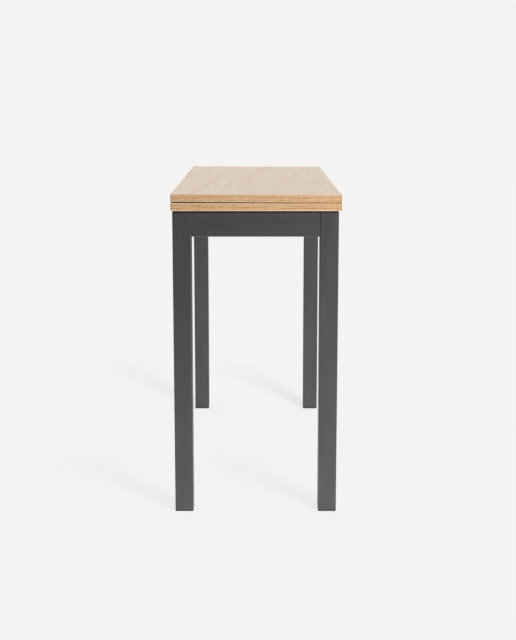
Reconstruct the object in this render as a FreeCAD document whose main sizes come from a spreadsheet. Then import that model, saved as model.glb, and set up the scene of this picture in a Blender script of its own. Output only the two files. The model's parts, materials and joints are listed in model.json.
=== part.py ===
import FreeCAD, Part
import os
import Sketcher

# A narrow console table that doubles its depth. Two leaves lie on each other on a steel frame.
# The top slides half of its depth to the front, and the upper leaf turns over like a book cover.
# X runs along the table, the front (the side that opens) is at -Y, and Z is up. The origin is on
# the floor, in the middle of the frame.

SIZES = {
    # Tabletop, both leaves alike
    "top_length": 1100,
    "top_depth": 400,
    "board_thickness": 18.6,
    "band_thickness": 2,
    "band_rounding": 1.2,
    "leaf_gap": 0.3,
    "end_overhang": 13.5,
    "side_overhang": 4.2,
    "closed_setback": 1.3,
    # Bumpers that the upper leaf rests on
    "bumper_height": 1.6,
    "bumper_radius": 4.5,
    "bumper_air": 0.3,
    "bumper_inset": 20,
    "bumper_end_inset": 60,
    # Steel tube frame
    "frame_height": 733,
    "leg_width": 44,
    "tube_wall": 1.5,
    "tube_rounding": 2,
    "apron_height": 60,
    "apron_depth": 20,
    "apron_recess": 1.5,
    "cross_bar_width": 30,
    "cross_bar_height": 20,
    # Plastic plugs in the ends of the legs
    "foot_flange": 5,
    "foot_bevel": 1.4,
    "head_flange": 2,
    "head_inset": 0.7,
    "foot_plug_depth": 18,
    "head_plug_depth": 8,
    "plug_wall": 2,
    "plug_fit": 0.1,
    # Brackets round the inner corner of each leg, and their bolts
    "bracket_gauge": 3,
    "bracket_height": 48,
    "bracket_arm": 42,
    "bracket_bend": 2.5,
    "bolt_radius": 4,
    "bolt_fit": 0.1,
    "bolt_reach": 15,
    "bolt_head_corner": 7.5,
    "bolt_head_height": 5.3,
    "bolt_rise": 8,
    # Channels that guide the sliding top
    "channel_width": 34,
    "channel_height": 20,
    "channel_wall": 2,
    "channel_slot": 12,
    "channel_spacing": 600,
    "channel_drop": 1,
    "angle_gauge": 2.5,
    "angle_arm": 26,
    "angle_width": 30,
    "buffer_length": 6,
    "buffer_fit": 0.2,
    "buffer_air": 0.5,
    # Pads on the frame that the leaves slide and rest on
    "pad_thickness": 1.7,
    "pad_air": 0.3,
    "pad_width": 14,
    "pad_length": 60,
    "pad_end_inset": 150,
    # Slider under the lower leaf
    "shoe_fit": 0.4,
    "slider_gauge": 2.5,
    "slider_width": 78,
    "slider_bevel": 4,
    # Hinges let into the facing sides of the leaves
    "hinge_length": 64,
    "hinge_reach": 32,
    "hinge_gauge": 1.5,
    "hinge_sink": 0.1,
    "hinge_end_inset": 150,
    "knuckle_radius": 2.6,
    "knuckle_air": 0.3,
    "pin_radius": 1.25,
    "pin_fit": 0.05,
    "seat_fit": 0.2,
    "barrel_air": 0.4,
}

# How many repeat
KNUCKLES = 3
HINGES = 3
BUMPERS = 3
PADS_ALONG = 3

# Sizes that follow from the named ones
frame_length = "(Sizes.top_length - 2 * Sizes.end_overhang)"
frame_depth = "(Sizes.top_depth - 2 * Sizes.side_overhang)"
apron_middle = "(Sizes.frame_height - Sizes.apron_height / 2)"
apron_inside = "(Sizes.apron_recess + Sizes.apron_depth)"
inner_depth = f"({frame_depth} - 2 * {apron_inside})"
bolt_line = f"(({apron_inside} + Sizes.bracket_gauge + Sizes.leg_width) / 2)"
bolt_seat = "(Sizes.leg_width + Sizes.bracket_gauge)"
half_gap = "(Sizes.leaf_gap / 2)"
underside = "(Sizes.frame_height + Sizes.pad_thickness + Sizes.pad_air)"
axis_y = f"(Sizes.closed_setback + Sizes.top_depth / 2 + {half_gap})"
axis_z = f"({underside} + Sizes.board_thickness + {half_gap})"
bumper_distance = f"(Sizes.top_depth + {half_gap} - Sizes.bumper_inset)"
rest_tilt = f"asin((Sizes.bumper_height + Sizes.bumper_air - Sizes.leaf_gap) / {bumper_distance})"
travel = axis_y
channel_top = "(Sizes.frame_height - Sizes.channel_drop)"
channel_floor = f"({channel_top} - Sizes.channel_height)"
channel_inside = "(Sizes.channel_width - 2 * Sizes.channel_wall)"
shoe_length = f"({inner_depth} - {travel} - 2 * (Sizes.buffer_length + Sizes.buffer_air))"
slider_bottom = f"({underside} - Sizes.slider_gauge)"
hinge_first = "(Sizes.hinge_end_inset - Sizes.top_length / 2)"
hinge_pitch = f"(-2 * {hinge_first} / {HINGES - 1})"
knuckle_pitch = f"(Sizes.hinge_length / {KNUCKLES})"
seat_depth = "(Sizes.hinge_gauge + Sizes.hinge_sink)"
plate_face = f"({half_gap} + Sizes.hinge_sink)"
bumper_first = "(Sizes.bumper_end_inset - Sizes.top_length / 2)"

# The corners of the frame in their order round it, with their signs along X and Y
CORNERS = {
    "front_left": (-1, -1),
    "front_right": (1, -1),
    "rear_right": (1, 1),
    "rear_left": (-1, 1),
}
LOWER = -1
UPPER = 1

# How close two lengths or directions are when they count as the same
SAME = 1e-4

doc = FreeCAD.newDocument("ConsoleTable")
sheet = doc.addObject("Spreadsheet::Sheet", "Sizes")
for row, (alias, size) in enumerate(SIZES.items(), start=1):
    sheet.set(f"A{row}", alias)
    sheet.set(f"B{row}", str(size))
    sheet.setAlias(f"B{row}", alias)
doc.recompute()

nodes = []


def number(expression):
    """The value that an expression has now, as a plain number."""
    value = sheet.evalExpression(expression)
    return float(getattr(value, "Value", value))


def new_body(label):
    body = doc.addObject("PartDesign::Body", label)
    body.Label = label
    return body


def keep(piece):
    """Count a piece as a node of the table."""
    nodes.append(piece)
    return piece


def origin_feature(body, role):
    return next(part for part in body.Origin.OriginFeatures if part.Role == role)


def sketch_on(body, plane, name, shift=("0", "0", "0")):
    """A sketch on one of the body's own planes, shifted along the sketch's own axes."""
    sketch = body.newObject("Sketcher::SketchObject", name)
    sketch.AttachmentSupport = [(origin_feature(body, plane), "")]
    sketch.MapMode = "FlatFace"
    for letter, distance in zip("xyz", shift):
        sketch.setExpression(f".AttachmentOffset.Base.{letter}", distance)
    return sketch


def pin_down(sketch, geometry, point, x, y):
    """Hold a point of the sketch at two distances from the sketch's origin."""
    for kind, distance in (("DistanceX", x), ("DistanceY", y)):
        held = Sketcher.Constraint(kind, -1, 1, geometry, point, number(distance))
        index = sketch.addConstraint(held)
        sketch.setExpression(f"Constraints[{index}]", distance)


def outline(sketch, points):
    """A closed outline of straight lines through points that are pairs of expressions."""
    corners = [FreeCAD.Vector(number(x), number(y)) for x, y in points]
    first = sketch.GeometryCount
    for index, corner in enumerate(corners):
        following = corners[(index + 1) % len(corners)]
        sketch.addGeometry(Part.LineSegment(corner, following), False)
    for index, (x, y) in enumerate(points):
        line = first + index
        following = first + (index + 1) % len(points)
        sketch.addConstraint(Sketcher.Constraint("Coincident", line, 2, following, 1))
        pin_down(sketch, line, 1, x, y)


def rectangle(sketch, left, bottom, right, top):
    outline(sketch, [(left, bottom), (right, bottom), (right, top), (left, top)])


def hexagon(sketch, x, y, corner):
    """A regular hexagon, from its middle to its corners."""
    outline(sketch, [(f"{x} + {corner} * cos({degrees})", f"{y} + {corner} * sin({degrees})")
                     for degrees in range(0, 360, 60)])


def disc(sketch, x, y, radius):
    centre = FreeCAD.Vector(number(x), number(y))
    circle = Part.Circle(centre, FreeCAD.Vector(0, 0, 1), number(radius))
    index = sketch.addGeometry(circle, False)
    pin_down(sketch, index, 3, x, y)
    held = sketch.addConstraint(Sketcher.Constraint("Radius", index, number(radius)))
    sketch.setExpression(f"Constraints[{held}]", radius)


def pad(body, sketch, length, both_ways=False, backwards=False):
    feature = body.newObject("PartDesign::Pad", f"{sketch.Name}_pad")
    feature.Profile = sketch
    feature.SideType = "Symmetric" if both_ways else "One side"
    feature.Reversed = backwards
    feature.setExpression("Length", length)
    sketch.Visibility = False
    doc.recompute()
    return feature


def pocket(body, sketch, depth, both_ways=False, backwards=False):
    before = body.Shape.Volume
    feature = body.newObject("PartDesign::Pocket", f"{sketch.Name}_pocket")
    feature.Profile = sketch
    feature.SideType = "Symmetric" if both_ways else "One side"
    feature.Reversed = backwards
    feature.setExpression("Length", depth)
    doc.recompute()
    if not feature.Shape.Volume < before:
        raise RuntimeError(f"{feature.Name} in {body.Label} cuts nothing")
    return feature


def repeat(body, feature, role, gap, count, second=None):
    """A row of copies, or with a second role, gap and count, a grid of them."""
    pattern = body.newObject("PartDesign::LinearPattern", f"{feature.Name}_row")
    pattern.Originals = [feature]
    pattern.Direction = (origin_feature(body, role), [""])
    pattern.setExpression("Length", f"{count - 1} * {gap}")
    pattern.Occurrences = count
    if second:
        second_role, second_gap, second_count = second
        pattern.Direction2 = (origin_feature(body, second_role), [""])
        pattern.setExpression("Length2", f"{second_count - 1} * {second_gap}")
        pattern.Occurrences2 = second_count
    body.Tip = pattern
    doc.recompute()
    return pattern


def round_edges(body, radius, wanted):
    """Round the edges of the body's last feature for which wanted(edge) is true."""
    base = body.Tip
    names = [f"Edge{index}" for index, edge in enumerate(base.Shape.Edges, 1) if wanted(edge)]
    feature = body.newObject("PartDesign::Fillet", f"{base.Name}_round")
    feature.Base = (base, names)
    feature.setExpression("Radius", radius)
    doc.recompute()
    return feature


def bevel_edges(body, size, wanted):
    """The same with a flat bevel."""
    base = body.Tip
    names = [f"Edge{index}" for index, edge in enumerate(base.Shape.Edges, 1) if wanted(edge)]
    feature = body.newObject("PartDesign::Chamfer", f"{base.Name}_bevel")
    feature.Base = (base, names)
    feature.setExpression("Size", size)
    doc.recompute()
    return feature


def runs_along(edge, letter):
    """Whether an edge is a straight line along an axis."""
    if edge.Curve.TypeId != "Part::GeomLine":
        return False
    direction = edge.tangentAt(edge.FirstParameter)
    return abs(abs(getattr(direction, letter)) - 1) < SAME


def middle(edge):
    return edge.BoundBox.Center


def same(first, second):
    return abs(first - second) < SAME


def place(piece, x="0", y="0", z="0"):
    for letter, distance in zip("xyz", (x, y, z)):
        piece.setExpression(f".Placement.Base.{letter}", distance)


def turn(piece, degrees):
    rotation = FreeCAD.Rotation(FreeCAD.Vector(0, 0, 1), degrees)
    piece.Placement = FreeCAD.Placement(FreeCAD.Vector(), rotation)


def stand_at_corner(piece, corner):
    """Put a piece that is drawn round a leg's outer corner at its corner of the frame. It is
    turned on by a quarter from the corner before."""
    along, across = CORNERS[corner]
    turn(piece, 360 * list(CORNERS).index(corner) / len(CORNERS))
    place(piece, f"{along} * {frame_length} / 2", f"{across} * {frame_depth} / 2")


def hang_on_axis(piece, side, x="0"):
    """Put a piece that is drawn about the hinge axis on its leaf, the upper one at its rest tilt."""
    if side == UPPER:
        rotation = FreeCAD.Rotation(FreeCAD.Vector(-1, 0, 0), number(rest_tilt))
        piece.Placement = FreeCAD.Placement(FreeCAD.Vector(), rotation)
        piece.setExpression(".Placement.Rotation.Angle", rest_tilt)
    place(piece, x, axis_y, axis_z)


def group(label, members):
    """Identical small pieces as one node."""
    compound = doc.addObject("Part::Compound", label)
    compound.Label = label
    compound.Links = members
    doc.recompute()
    return keep(compound)


def tube(label, plane, letter, width, height, length):
    """A rectangular steel tube along an axis, with rounded long edges."""
    body = new_body(label)
    outside = sketch_on(body, plane, f"{label}_outside")
    rectangle(outside, "0", "0", width, height)
    pad(body, outside, length, both_ways=True)
    round_edges(body, "Sizes.tube_rounding", lambda edge: runs_along(edge, letter))
    inside = sketch_on(body, plane, f"{label}_inside")
    wall = "Sizes.tube_wall"
    rectangle(inside, wall, wall, f"{width} - {wall}", f"{height} - {wall}")
    pocket(body, inside, length, both_ways=True)
    return keep(body)


def bolt_places():
    """The two bolts of a leg, one above the other. Each has the plane that its circle is drawn
    on, the sign of that plane's normal towards the inside of the frame, and its height."""
    return [("YZ_Plane", 1, f"{apron_middle} + Sizes.bolt_rise"),
            ("XZ_Plane", -1, f"{apron_middle} - Sizes.bolt_rise")]


def bolt_holes(body, seat, depth):
    """Holes through both faces of a leg's inner corner, at the given face distance."""
    for plane, normal, height in bolt_places():
        shift = ("0", "0", f"{normal} * ({seat})")
        sketch = sketch_on(body, plane, f"{body.Name}_hole_{plane}", shift)
        disc(sketch, bolt_line, height, "Sizes.bolt_radius + Sizes.bolt_fit")
        pocket(body, sketch, depth, backwards=normal < 0)


def make_leg(corner):
    body = new_body(f"leg_{corner}")
    bottom = ("0", "0", "Sizes.foot_flange")
    outside = sketch_on(body, "XY_Plane", f"leg_{corner}_outside", bottom)
    rectangle(outside, "0", "0", "Sizes.leg_width", "Sizes.leg_width")
    length = "Sizes.frame_height - Sizes.foot_flange - Sizes.head_flange"
    pad(body, outside, length)
    round_edges(body, "Sizes.tube_rounding", lambda edge: runs_along(edge, "z"))
    inside = sketch_on(body, "XY_Plane", f"leg_{corner}_inside", bottom)
    far = "Sizes.leg_width - Sizes.tube_wall"
    rectangle(inside, "Sizes.tube_wall", "Sizes.tube_wall", far, far)
    pocket(body, inside, length, backwards=True)
    bolt_holes(body, "Sizes.leg_width", "2 * Sizes.tube_wall")
    stand_at_corner(body, corner)
    return keep(body)


def make_plug(label, corner, inset, flange, depth, level, upwards):
    """A plastic plug: a flange on the leg's end, and a hollow square stub inside the tube."""
    body = new_body(label)
    at_level = ("0", "0", level)
    cover = sketch_on(body, "XY_Plane", f"{label}_flange", at_level)
    rectangle(cover, inset, inset, f"Sizes.leg_width - {inset}", f"Sizes.leg_width - {inset}")
    pad(body, cover, flange, backwards=upwards)
    if upwards:
        round_edges(body, "Sizes.tube_rounding", lambda edge: runs_along(edge, "z"))
        bevel_edges(body, "Sizes.foot_bevel", lambda edge: same(edge.BoundBox.ZMax, 0))
    near = "Sizes.tube_wall + Sizes.plug_fit"
    stub = sketch_on(body, "XY_Plane", f"{label}_stub", at_level)
    rectangle(stub, near, near, f"Sizes.leg_width - ({near})", f"Sizes.leg_width - ({near})")
    pad(body, stub, depth, backwards=not upwards)
    near = f"{near} + Sizes.plug_wall"
    hollow = sketch_on(body, "XY_Plane", f"{label}_hollow", at_level)
    rectangle(hollow, near, near, f"Sizes.leg_width - ({near})", f"Sizes.leg_width - ({near})")
    pocket(body, hollow, depth, backwards=upwards)
    stand_at_corner(body, corner)
    return keep(body)


def make_bracket(corner):
    """A bent strip from one apron round the leg's inner corner to the other apron."""
    label = f"corner_bracket_{corner}"
    body = new_body(label)
    level = ("0", "0", apron_middle)
    strip = sketch_on(body, "XY_Plane", f"{label}_strip", level)
    leg = "Sizes.leg_width"
    out = f"{leg} + Sizes.bracket_gauge"
    end = f"{leg} + Sizes.bracket_arm"
    apron = apron_inside
    face = f"{apron} + Sizes.bracket_gauge"
    outline(strip, [
        (end, apron),
        (end, face),
        (out, face),
        (out, out),
        (face, out),
        (face, end),
        (apron, end),
        (apron, leg),
        (leg, leg),
        (leg, apron),
    ])
    pad(body, strip, "Sizes.bracket_height", both_ways=True)
    bends = [(number(out), number(face)), (number(out), number(out)), (number(face), number(out))]

    def is_bend(edge):
        spot = middle(edge)
        at_bend = any(same(spot.x, x) and same(spot.y, y) for x, y in bends)
        return runs_along(edge, "z") and at_bend

    round_edges(body, "Sizes.bracket_bend", is_bend)
    bolt_holes(body, bolt_seat, "Sizes.bracket_gauge")
    stand_at_corner(body, corner)
    return keep(body)


def corner_bolts(corner):
    """The two hexagon bolts that pull one leg against its bracket."""
    body = new_body(f"bolts_{corner}")
    for plane, normal, height in bolt_places():
        shift = ("0", "0", f"{normal} * {bolt_seat}")
        shank = sketch_on(body, plane, f"shank_{corner}_{plane}", shift)
        disc(shank, bolt_line, height, "Sizes.bolt_radius")
        pad(body, shank, "Sizes.bolt_reach", backwards=normal > 0)
        head = sketch_on(body, plane, f"head_{corner}_{plane}", shift)
        hexagon(head, bolt_line, height, "Sizes.bolt_head_corner")
        pad(body, head, "Sizes.bolt_head_height", backwards=normal < 0)
    stand_at_corner(body, corner)
    return body


def make_frame():
    for corner in CORNERS:
        make_leg(corner)
        make_plug(f"foot_cap_{corner}", corner, "0", "Sizes.foot_flange",
                  "Sizes.foot_plug_depth", "Sizes.foot_flange", True)
        make_plug(f"leg_cap_{corner}", corner, "Sizes.head_inset", "Sizes.head_flange",
                  "Sizes.head_plug_depth", "Sizes.frame_height - Sizes.head_flange", False)
        make_bracket(corner)
    group("leg_bolts", [corner_bolts(corner) for corner in CORNERS])
    make_aprons()
    make_cross_bar()


def make_aprons():
    low = "Sizes.frame_height - Sizes.apron_height"
    long_length = f"{frame_length} - 2 * Sizes.leg_width"
    short_length = f"{frame_depth} - 2 * Sizes.leg_width"
    size = ("Sizes.apron_depth", "Sizes.apron_height")
    for label, across in (("apron_front", -1), ("apron_rear", 1)):
        apron = tube(label, "YZ_Plane", "x", *size, long_length)
        outer = f"{across} * ({frame_depth} / 2 - Sizes.apron_recess)"
        place(apron, "0", outer if across < 0 else f"{outer} - Sizes.apron_depth", low)
    for label, along in (("apron_left", -1), ("apron_right", 1)):
        apron = tube(label, "XZ_Plane", "y", *size, short_length)
        outer = f"{along} * ({frame_length} / 2 - Sizes.apron_recess)"
        place(apron, outer if along < 0 else f"{outer} - Sizes.apron_depth", "0", low)


def make_cross_bar():
    bar = tube("cross_bar", "XZ_Plane", "y", "Sizes.cross_bar_width", "Sizes.cross_bar_height",
               inner_depth)
    low = "Sizes.frame_height - Sizes.cross_bar_height"
    place(bar, "-Sizes.cross_bar_width / 2", "0", low)


def make_channel(label, along):
    """An aluminium guide channel with a slot along its top."""
    body = new_body(label)
    outside = sketch_on(body, "XZ_Plane", f"{label}_outside")
    rectangle(outside, "-Sizes.channel_width / 2", "0", "Sizes.channel_width / 2",
              "Sizes.channel_height")
    pad(body, outside, inner_depth, both_ways=True)
    inside = sketch_on(body, "XZ_Plane", f"{label}_inside")
    rectangle(inside, f"-{channel_inside} / 2", "Sizes.channel_wall", f"{channel_inside} / 2",
              "Sizes.channel_height - Sizes.channel_wall")
    pocket(body, inside, inner_depth, both_ways=True)
    slot = sketch_on(body, "XZ_Plane", f"{label}_slot")
    rectangle(slot, "-Sizes.channel_slot / 2", "Sizes.channel_height - Sizes.channel_wall",
              "Sizes.channel_slot / 2", "Sizes.channel_height")
    pocket(body, slot, inner_depth, both_ways=True)
    place(body, f"{along} * Sizes.channel_spacing / 2", "0", channel_floor)
    return keep(body)


def at_channel_end(piece, along, across):
    """Put a piece that is drawn at the rear end of a channel at one of the four ends."""
    turn(piece, 0 if across > 0 else 180)
    place(piece, f"{along} * Sizes.channel_spacing / 2", f"{across} * {inner_depth} / 2",
          channel_floor)
    return piece


def channel_ends():
    return [(along, across) for along in (-1, 1) for across in (-1, 1)]


def end_name(base, along, across):
    return f"{base}_{'left' if along < 0 else 'right'}_{'front' if across < 0 else 'rear'}"


def channel_angle(along, across):
    """A steel angle on the apron that carries the end of a channel."""
    name = end_name("angle", along, across)
    body = new_body(name)
    profile = sketch_on(body, "YZ_Plane", f"{name}_profile")
    arm = "-Sizes.angle_arm"
    gauge = "-Sizes.angle_gauge"
    outline(profile, [("0", "0"), (arm, "0"), (arm, gauge), (gauge, gauge), (gauge, arm), ("0", arm)])
    pad(body, profile, "Sizes.angle_width", both_ways=True)
    return at_channel_end(body, along, across)


def channel_buffer(along, across):
    """A rubber block in the end of a channel, which stops the shoe."""
    name = end_name("buffer", along, across)
    body = new_body(name)
    block = sketch_on(body, "XZ_Plane", f"{name}_block")
    half = f"({channel_inside} / 2 - Sizes.buffer_fit)"
    top = "Sizes.channel_height - Sizes.channel_wall - Sizes.buffer_fit"
    rectangle(block, f"-{half}", "Sizes.channel_wall", half, top)
    pad(body, block, "Sizes.buffer_length")
    return at_channel_end(body, along, across)


def make_guides():
    for label, along in (("guide_channel_left", -1), ("guide_channel_right", 1)):
        make_channel(label, along)
    group("channel_angles", [channel_angle(*end) for end in channel_ends()])
    group("channel_buffers", [channel_buffer(*end) for end in channel_ends()])


def make_glide_pads():
    """Pads on the long aprons, the short aprons and the cross bar."""
    body = new_body("glide_pads")
    level = ("0", "0", "Sizes.frame_height")
    half_width = "Sizes.pad_width / 2"
    half_length = "Sizes.pad_length / 2"
    long_middle = f"({frame_depth} / 2 - Sizes.apron_recess - Sizes.apron_depth / 2)"
    short_middle = f"({frame_length} / 2 - Sizes.apron_recess - Sizes.apron_depth / 2)"
    outer = f"({frame_length} / 2 - Sizes.pad_end_inset)"
    along = sketch_on(body, "XY_Plane", "pads_along", level)
    rectangle(along, f"-{outer} - {half_length}", f"-{long_middle} - {half_width}",
              f"-{outer} + {half_length}", f"-{long_middle} + {half_width}")
    first = pad(body, along, "Sizes.pad_thickness")
    rows = ("Y_Axis", f"2 * {long_middle}", 2)
    repeat(body, first, "X_Axis", f"2 * {outer} / {PADS_ALONG - 1}", PADS_ALONG, rows)
    across = sketch_on(body, "XY_Plane", "pads_across", level)
    for x in (f"-{short_middle}", short_middle, "0"):
        rectangle(across, f"{x} - {half_width}", f"-{half_length}", f"{x} + {half_width}",
                  half_length)
    pad(body, across, "Sizes.pad_thickness")
    return keep(body)


def board_levels(side):
    """The sketch shift of a leaf's mating face, and whether its wood lies above that plane."""
    return ("0", "0", f"{side} * {half_gap}"), side == UPPER


def relieve_barrels(body, name):
    """Clear the back edge round each hinge barrel."""
    sketch = sketch_on(body, "YZ_Plane", f"{name}_barrels", ("0", "0", hinge_first))
    disc(sketch, "0", "0", "Sizes.knuckle_radius + Sizes.barrel_air")
    cut = pocket(body, sketch, "Sizes.hinge_length + 2 * Sizes.barrel_air", both_ways=True)
    repeat(body, cut, "X_Axis", hinge_pitch, HINGES)


def seat_hinges(body, name, side):
    """Shallow seats for the hinge plates."""
    face, above = board_levels(side)
    sketch = sketch_on(body, "XY_Plane", f"{name}_seats", face)
    half = "(Sizes.hinge_length / 2 + Sizes.seat_fit)"
    rectangle(sketch, f"{hinge_first} - {half}", "-Sizes.hinge_reach - Sizes.seat_fit",
              f"{hinge_first} + {half}", "0")
    seat = pocket(body, sketch, seat_depth, backwards=above)
    repeat(body, seat, "X_Axis", hinge_pitch, HINGES)


def make_board(label, side):
    """The board inside the edge bands."""
    body = new_body(label)
    face, above = board_levels(side)
    half = "(Sizes.top_length / 2 - Sizes.band_thickness)"
    front = f"-({half_gap} + Sizes.top_depth - Sizes.band_thickness)"
    rear = f"-({half_gap} + Sizes.band_thickness)"
    sketch = sketch_on(body, "XY_Plane", f"{label}_plan", face)
    rectangle(sketch, f"-{half}", front, half, rear)
    pad(body, sketch, "Sizes.board_thickness", backwards=not above)
    relieve_barrels(body, label)
    seat_hinges(body, label, side)
    hang_on_axis(body, side)
    return keep(body)


def make_band(label, side, place_name):
    """One edge band. The front and rear ones run full length, the others fit between them."""
    body = new_body(label)
    face, above = board_levels(side)
    sketch = sketch_on(body, "XY_Plane", f"{label}_plan", face)
    half = "(Sizes.top_length / 2)"
    band = "Sizes.band_thickness"
    front = f"(-({half_gap} + Sizes.top_depth))"
    rear = f"(-{half_gap})"
    corners = {
        "front": (f"-{half}", front, half, f"{front} + {band}"),
        "rear": (f"-{half}", f"{rear} - {band}", half, rear),
        "left": (f"-{half}", f"{front} + {band}", f"-{half} + {band}", f"{rear} - {band}"),
        "right": (f"{half} - {band}", f"{front} + {band}", half, f"{rear} - {band}"),
    }
    rectangle(sketch, *corners[place_name])
    pad(body, sketch, "Sizes.board_thickness", backwards=not above)
    across = place_name in ("front", "rear")
    outer = {"front": number(front), "rear": number(rear)}
    outer.update({"left": -number(half), "right": number(half)})

    def is_outer_arris(edge):
        spot = middle(edge)
        distance = spot.y if across else spot.x
        return runs_along(edge, "x" if across else "y") and same(distance, outer[place_name])

    round_edges(body, "Sizes.band_rounding", is_outer_arris)
    if place_name == "rear":
        relieve_barrels(body, label)
    hang_on_axis(body, side)
    return keep(body)


def notch_first(side):
    """Where the first notch for the other plate's knuckles is, from the hinge's middle."""
    others_before = 1 if side == LOWER else 0
    return f"{others_before - (KNUCKLES - 1) / 2} * {knuckle_pitch}"


def make_hinge_plate(label, side, index):
    """A plate with its knuckles. The lower one has the outer knuckles."""
    body = new_body(label)
    level = ("0", "0", f"{side} * {plate_face}")
    above = side == UPPER
    plan = sketch_on(body, "XY_Plane", f"{label}_plan", level)
    half = "Sizes.hinge_length / 2"
    rectangle(plan, f"-{half}", "-Sizes.hinge_reach", half, "0")
    pad(body, plan, "Sizes.hinge_gauge", backwards=not above)
    barrel = sketch_on(body, "YZ_Plane", f"{label}_barrel")
    disc(barrel, "0", "0", "Sizes.knuckle_radius")
    pad(body, barrel, "Sizes.hinge_length", both_ways=True)
    notch = sketch_on(body, "YZ_Plane", f"{label}_notch", ("0", "0", notch_first(side)))
    disc(notch, "0", "0", "Sizes.knuckle_radius + Sizes.knuckle_air")
    width = f"{knuckle_pitch} + Sizes.knuckle_air"
    cut = pocket(body, notch, width, both_ways=True)
    count = KNUCKLES // 2 if side == LOWER else KNUCKLES // 2 + 1
    if count > 1:
        repeat(body, cut, "X_Axis", f"2 * {knuckle_pitch}", count)
    bore = sketch_on(body, "YZ_Plane", f"{label}_bore")
    disc(bore, "0", "0", "Sizes.pin_radius + Sizes.pin_fit")
    pocket(body, bore, "Sizes.hinge_length", both_ways=True)
    hang_on_axis(body, side, f"{hinge_first} + {index} * {hinge_pitch}")
    return keep(body)


def make_pin(index):
    label = f"hinge_pin_{index + 1}"
    body = new_body(label)
    sketch = sketch_on(body, "YZ_Plane", f"{label}_round")
    disc(sketch, "0", "0", "Sizes.pin_radius")
    pad(body, sketch, "Sizes.hinge_length", both_ways=True)
    hang_on_axis(body, LOWER, f"{hinge_first} + {index} * {hinge_pitch}")
    return keep(body)


def make_bumpers():
    """Clear soft bumpers near the front edge of the lower leaf."""
    body = new_body("bumpers")
    level = ("0", "0", f"-{half_gap}")
    sketch = sketch_on(body, "XY_Plane", "bumper_round", level)
    disc(sketch, bumper_first, f"-{bumper_distance}", "Sizes.bumper_radius")
    bumper = pad(body, sketch, "Sizes.bumper_height")
    repeat(body, bumper, "X_Axis", f"-2 * {bumper_first} / {BUMPERS - 1}", BUMPERS)
    hang_on_axis(body, LOWER)
    return keep(body)


def make_slider_plate(label, along):
    body = new_body(label)
    plan = sketch_on(body, "XY_Plane", f"{label}_plan")
    half_x = "Sizes.slider_width / 2"
    half_y = f"{shoe_length} / 2"
    rectangle(plan, f"-{half_x}", f"-{half_y}", half_x, half_y)
    pad(body, plan, "Sizes.slider_gauge")
    bevel_edges(body, "Sizes.slider_bevel", lambda edge: runs_along(edge, "z"))
    place(body, f"{along} * Sizes.channel_spacing / 2", f"{travel} / 2", slider_bottom)
    return keep(body)


def make_shoe(label, along):
    """A nylon shoe with a wide foot inside the channel and a neck through its slot."""
    body = new_body(label)
    section = sketch_on(body, "XZ_Plane", f"{label}_section")
    foot = f"({channel_inside} / 2 - Sizes.shoe_fit)"
    neck = "(Sizes.channel_slot / 2 - Sizes.shoe_fit)"
    low = f"({channel_floor} + Sizes.channel_wall + Sizes.shoe_fit)"
    shoulder = f"({channel_top} - Sizes.channel_wall - Sizes.shoe_fit)"
    outline(section, [
        (f"-{foot}", low),
        (foot, low),
        (foot, shoulder),
        (neck, shoulder),
        (neck, slider_bottom),
        (f"-{neck}", slider_bottom),
        (f"-{neck}", shoulder),
        (f"-{foot}", shoulder),
    ])
    pad(body, section, shoe_length, both_ways=True)
    place(body, f"{along} * Sizes.channel_spacing / 2", f"{travel} / 2", "0")
    return keep(body)


def make_sliders():
    for name, along in (("left", -1), ("right", 1)):
        make_slider_plate(f"slider_plate_{name}", along)
        make_shoe(f"slider_shoe_{name}", along)


def make_leaf(name, side):
    make_board(f"{name}_board", side)
    for place_name in ("front", "rear", "left", "right"):
        make_band(f"{name}_band_{place_name}", side, place_name)
    for index in range(HINGES):
        make_hinge_plate(f"{name}_hinge_plate_{index + 1}", side, index)


def check(pieces):
    """Stop if any object failed, or any node has no sound solid."""
    for item in doc.Objects:
        if "Invalid" in item.State or "Error" in item.State:
            raise RuntimeError(f"{item.Name} failed: {item.State}")
    for piece in pieces:
        shape = piece.Shape
        if shape.isNull() or not shape.isValid() or not shape.Solids:
            raise RuntimeError(f"{piece.Label} has no sound solid")


make_frame()
make_guides()
make_glide_pads()
make_leaf("lower", LOWER)
make_sliders()
for pin_index in range(HINGES):
    make_pin(pin_index)
make_bumpers()
make_leaf("upper", UPPER)
doc.recompute()
check(nodes)

os.makedirs("parts", exist_ok=True)
for node in nodes:
    node.Shape.exportStep(f"parts/{node.Label}.step")
    print(f"{node.Label}: {len(node.Shape.Solids)} solid(s), {node.Shape.Volume:.0f} cubic mm")
print(f"{len(nodes)} nodes")
print(f"Slide travel {number(travel):.3f} mm, rest tilt {number(rest_tilt):.4f} degrees")
print(f"Hinge axis at y {number(axis_y):.3f}, z {number(axis_z):.3f} mm")
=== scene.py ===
# %% [markdown]
# # A console table that opens like a book
#
# The table in this lesson is narrow when it is shut. Two oak-finished leaves lie on each other on
# a dark steel frame. Both slide to the front, the upper leaf turns over, and the table is twice
# as deep. The construction comes ready made, with a mesh for each named piece. The lesson gives
# those pieces their finishes, adds the small fasteners and welds, and sets up the picture.

import json
import math

import bmesh
import bpy
from mathutils import Matrix, Vector


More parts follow.
